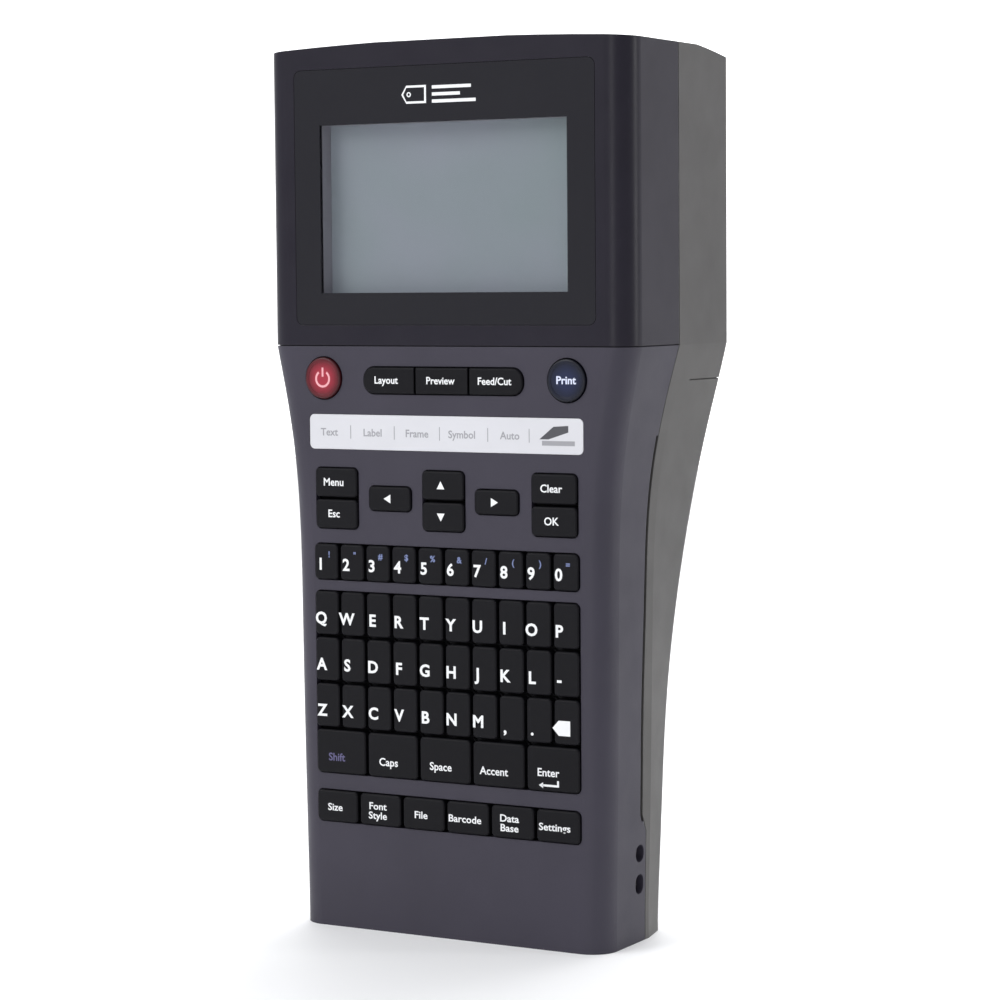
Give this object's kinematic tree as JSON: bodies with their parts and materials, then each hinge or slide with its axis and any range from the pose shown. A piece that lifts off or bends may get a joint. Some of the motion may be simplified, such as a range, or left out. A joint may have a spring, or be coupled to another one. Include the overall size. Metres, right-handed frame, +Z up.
{
  "type": "handheld label maker",
  "caption": "Handheld electronic label maker with keyboard, recessed display, thermal tape print mechanism, side cutter lever, tape door and battery compartment.",
  "frame": {"origin": "centre of the bounding box at the base, on the surface it stands on", "axes": "+X to the right seen from the keyboard side, -Y out of the keyboard, +Z up towards the display end"},
  "size_m": [0.117, 0.0636, 0.2522],
  "materials": {
    "case_front": "satin textured, purple-grey charcoal",
    "case_display": "semi-gloss charcoal",
    "case_rear": "fine matt texture, warm dark grey",
    "window_glass": "gloss smoked lens with black border",
    "lcd_glass": "grey-green liquid crystal glass",
    "bezel_grey": "satin grey",
    "strip_white": "printed white film",
    "key_black": "satin near-black silicone with white legends",
    "key_red": "satin red",
    "key_navy": "satin navy",
    "mat_black": "matt silicone sheet",
    "board_green": "solder mask",
    "jack_black": "satin",
    "cell_wrap": "printed cell wrapper",
    "nickel": "nickel plated",
    "steel": "bright steel",
    "zinc_screw": "zinc plated",
    "chassis_plastic": "moulded black",
    "cassette_plastic": "moulded light grey",
    "tape_white": "wound label tape",
    "ribbon_black": "wound ink ribbon",
    "head_ceramic": "glazed ceramic",
    "aluminium": "extruded",
    "platen_rubber": "ground rubber",
    "gear_acetal": "natural acetal",
    "brass": "machined",
    "lever_plastic": "moulded dark grey"
  },
  "bodies": {
    "case": {"front_case": "case_front", "display_cover": "case_display", "display_window": "window_glass", "legend_strip": "strip_white", "rear_case": "case_rear", "hinge_pins": "steel", "case_screws": "zinc_screw", "lcd_bezel": "bezel_grey", "lcd_panel": "lcd_glass", "keypad_mat": "mat_black", "key_board": "board_green", "main_board": "board_green", "dc_jack": "jack_black", "usb_port": "nickel", "batteries": "cell_wrap", "battery_contacts": "nickel", "mechanism_chassis": "chassis_plastic", "mechanism_pins": "steel", "drive_motor": "nickel", "print_head": "head_ceramic", "head_heat_sink": "aluminium", "cassette_shell": "cassette_plastic", "fixed_blade": "steel", "holder_spring": "steel", "cutter_spring": "steel"},
    "tape_door": {"tape_door": "case_rear"},
    "battery_cover": {"battery_cover": "case_rear"},
    "roller_holder": {"roller_holder": "chassis_plastic"},
    "platen": {"platen_roller": "platen_rubber", "platen_gear": "gear_acetal"},
    "release_lever": {"release_lever": "lever_plastic"},
    "cutter": {"cutter_lever": "lever_plastic", "moving_blade": "steel"},
    "motor_pinion": {"motor_pinion": "brass"},
    "reduction_gear": {"reduction_gear": "gear_acetal"},
    "drive_gear": {"drive_gear": "gear_acetal"},
    "ribbon_gear": {"ribbon_gear": "gear_acetal"},
    "tape_roll": {"tape_roll": "tape_white"},
    "ribbon_supply": {"ribbon_supply_spool": "ribbon_black"},
    "ribbon_takeup": {"ribbon_takeup_spool": "ribbon_black"},
    "power_key": {"power_key": "key_red"},
    "print_key": {"print_key": "key_navy"},
    "layout_key": {"layout_key": "key_black"},
    "preview_key": {"preview_key": "key_black"},
    "feed_key": {"feed_key": "key_black"},
    "menu_key": {"menu_key": "key_black"},
    "escape_key": {"escape_key": "key_black"},
    "left_key": {"left_key": "key_black"},
    "up_key": {"up_key": "key_black"},
    "down_key": {"down_key": "key_black"},
    "right_key": {"right_key": "key_black"},
    "clear_key": {"clear_key": "key_black"},
    "ok_key": {"ok_key": "key_black"},
    "digit_keys": {"digit_keys": "key_black"},
    "letter_keys_top": {"letter_keys_top": "key_black"},
    "letter_keys_middle": {"letter_keys_middle": "key_black"},
    "letter_keys_bottom": {"letter_keys_bottom": "key_black"},
    "modifier_keys": {"modifier_keys": "key_black"},
    "function_keys": {"function_keys": "key_black"}
  },
  "joints": [
    {"name": "tape_door_hinge", "type": "hinge", "parent": "case", "child": "tape_door", "pos_m": [0, 0.029, 0.16], "axis": [-1, 0, 0], "range_deg": [0, 90]},
    {"name": "battery_cover_pull", "type": "slide", "parent": "case", "child": "battery_cover", "axis": [0, 1, 0], "range_m": [0, 0.04]},
    {"name": "release_lever_hinge", "type": "hinge", "parent": "case", "child": "release_lever", "pos_m": [-0.0532, 0.015, 0.218], "axis": [0, 1, 0], "range_deg": [0, 15]},
    {"name": "roller_holder_hinge", "type": "hinge", "parent": "case", "child": "roller_holder", "pos_m": [-0.046, 0.015, 0.18], "axis": [0, -1, 0], "range_deg": [0, 5], "deforming": ["holder_spring"]},
    {"name": "platen_spin", "type": "hinge", "parent": "roller_holder", "child": "platen", "pos_m": [-0.0435, 0.015, 0.206], "axis": [0, 1, 0], "continuous": true},
    {"name": "cutter_hinge", "type": "hinge", "parent": "case", "child": "cutter", "pos_m": [-0.046, -0.004, 0.238], "axis": [0, 0, -1], "range_deg": [0, 12], "stiffness_Nm_per_rad": 0.08, "deforming": ["cutter_spring"]},
    {"name": "reduction_spin", "type": "hinge", "parent": "case", "child": "reduction_gear", "pos_m": [-0.03024, -0.005, 0.18268], "axis": [0, 1, 0], "continuous": true},
    {"name": "motor_spin", "type": "hinge", "parent": "case", "child": "motor_pinion", "pos_m": [-0.0475, -0.005, 0.166], "axis": [0, 1, 0], "continuous": true},
    {"name": "drive_spin", "type": "hinge", "parent": "case", "child": "drive_gear", "pos_m": [-0.0207, -0.003, 0.206], "axis": [0, 1, 0], "continuous": true},
    {"name": "ribbon_gear_spin", "type": "hinge", "parent": "case", "child": "ribbon_gear", "pos_m": [-0.01449, 0, 0.18282], "axis": [0, 1, 0], "continuous": true},
    {"name": "ribbon_takeup_spin", "type": "hinge", "parent": "case", "child": "ribbon_takeup", "pos_m": [-0.01449, 0.015, 0.18282], "axis": [0, 1, 0], "continuous": true},
    {"name": "tape_roll_spin", "type": "hinge", "parent": "case", "child": "tape_roll", "pos_m": [0.017, 0.015, 0.196], "axis": [0, 1, 0], "continuous": true},
    {"name": "ribbon_supply_spin", "type": "hinge", "parent": "case", "child": "ribbon_supply", "pos_m": [-0.014, 0.015, 0.212], "axis": [0, 1, 0], "continuous": true},
    {"name": "power_key_press", "type": "slide", "parent": "case", "child": "power_key", "axis": [0, 1, 0], "range_m": [0, 0.0008], "stiffness_N_per_m": 250, "springref_m": -0.0008},
    {"name": "print_key_press", "type": "slide", "parent": "case", "child": "print_key", "axis": [0, 1, 0], "range_m": [0, 0.0008], "stiffness_N_per_m": 250, "springref_m": -0.0008},
    {"name": "layout_key_press", "type": "slide", "parent": "case", "child": "layout_key", "axis": [0, 1, 0], "range_m": [0, 0.0008], "stiffness_N_per_m": 250, "springref_m": -0.0008},
    {"name": "preview_key_press", "type": "slide", "parent": "case", "child": "preview_key", "axis": [0, 1, 0], "range_m": [0, 0.0008], "stiffness_N_per_m": 250, "springref_m": -0.0008},
    {"name": "feed_key_press", "type": "slide", "parent": "case", "child": "feed_key", "axis": [0, 1, 0], "range_m": [0, 0.0008], "stiffness_N_per_m": 250, "springref_m": -0.0008},
    {"name": "menu_key_press", "type": "slide", "parent": "case", "child": "menu_key", "axis": [0, 1, 0], "range_m": [0, 0.0008], "stiffness_N_per_m": 250, "springref_m": -0.0008},
    {"name": "escape_key_press", "type": "slide", "parent": "case", "child": "escape_key", "axis": [0, 1, 0], "range_m": [0, 0.0008], "stiffness_N_per_m": 250, "springref_m": -0.0008},
    {"name": "left_key_press", "type": "slide", "parent": "case", "child": "left_key", "axis": [0, 1, 0], "range_m": [0, 0.0008], "stiffness_N_per_m": 250, "springref_m": -0.0008},
    {"name": "up_key_press", "type": "slide", "parent": "case", "child": "up_key", "axis": [0, 1, 0], "range_m": [0, 0.0008], "stiffness_N_per_m": 250, "springref_m": -0.0008},
    {"name": "down_key_press", "type": "slide", "parent": "case", "child": "down_key", "axis": [0, 1, 0], "range_m": [0, 0.0008], "stiffness_N_per_m": 250, "springref_m": -0.0008},
    {"name": "right_key_press", "type": "slide", "parent": "case", "child": "right_key", "axis": [0, 1, 0], "range_m": [0, 0.0008], "stiffness_N_per_m": 250, "springref_m": -0.0008},
    {"name": "clear_key_press", "type": "slide", "parent": "case", "child": "clear_key", "axis": [0, 1, 0], "range_m": [0, 0.0008], "stiffness_N_per_m": 250, "springref_m": -0.0008},
    {"name": "ok_key_press", "type": "slide", "parent": "case", "child": "ok_key", "axis": [0, 1, 0], "range_m": [0, 0.0008], "stiffness_N_per_m": 250, "springref_m": -0.0008},
    {"name": "digit_keys_press", "type": "slide", "parent": "case", "child": "digit_keys", "axis": [0, 1, 0], "range_m": [0, 0.0008], "stiffness_N_per_m": 400, "springref_m": -0.0008},
    {"name": "letter_keys_top_press", "type": "slide", "parent": "case", "child": "letter_keys_top", "axis": [0, 1, 0], "range_m": [0, 0.0008], "stiffness_N_per_m": 400, "springref_m": -0.0008},
    {"name": "letter_keys_middle_press", "type": "slide", "parent": "case", "child": "letter_keys_middle", "axis": [0, 1, 0], "range_m": [0, 0.0008], "stiffness_N_per_m": 400, "springref_m": -0.0008},
    {"name": "letter_keys_bottom_press", "type": "slide", "parent": "case", "child": "letter_keys_bottom", "axis": [0, 1, 0], "range_m": [0, 0.0008], "stiffness_N_per_m": 400, "springref_m": -0.0008},
    {"name": "modifier_keys_press", "type": "slide", "parent": "case", "child": "modifier_keys", "axis": [0, 1, 0], "range_m": [0, 0.0008], "stiffness_N_per_m": 400, "springref_m": -0.0008},
    {"name": "function_keys_press", "type": "slide", "parent": "case", "child": "function_keys", "axis": [0, 1, 0], "range_m": [0, 0.0008], "stiffness_N_per_m": 400, "springref_m": -0.0008}
  ],
  "couplings": [
    {"joint": "motor_spin", "follows": "tape_roll_spin", "ratio": 11.392},
    {"joint": "reduction_spin", "follows": "tape_roll_spin", "ratio": -2.8479},
    {"joint": "drive_spin", "follows": "tape_roll_spin", "ratio": 1.1392},
    {"joint": "platen_spin", "follows": "tape_roll_spin", "ratio": -4.2718},
    {"joint": "ribbon_gear_spin", "follows": "tape_roll_spin", "ratio": -3.4175},
    {"joint": "ribbon_takeup_spin", "follows": "tape_roll_spin", "ratio": -3.4175},
    {"joint": "ribbon_supply_spin", "follows": "tape_roll_spin", "ratio": -2.6485},
    {"joint": "release_lever_hinge", "follows": "roller_holder_hinge", "ratio": 3}
  ]
}
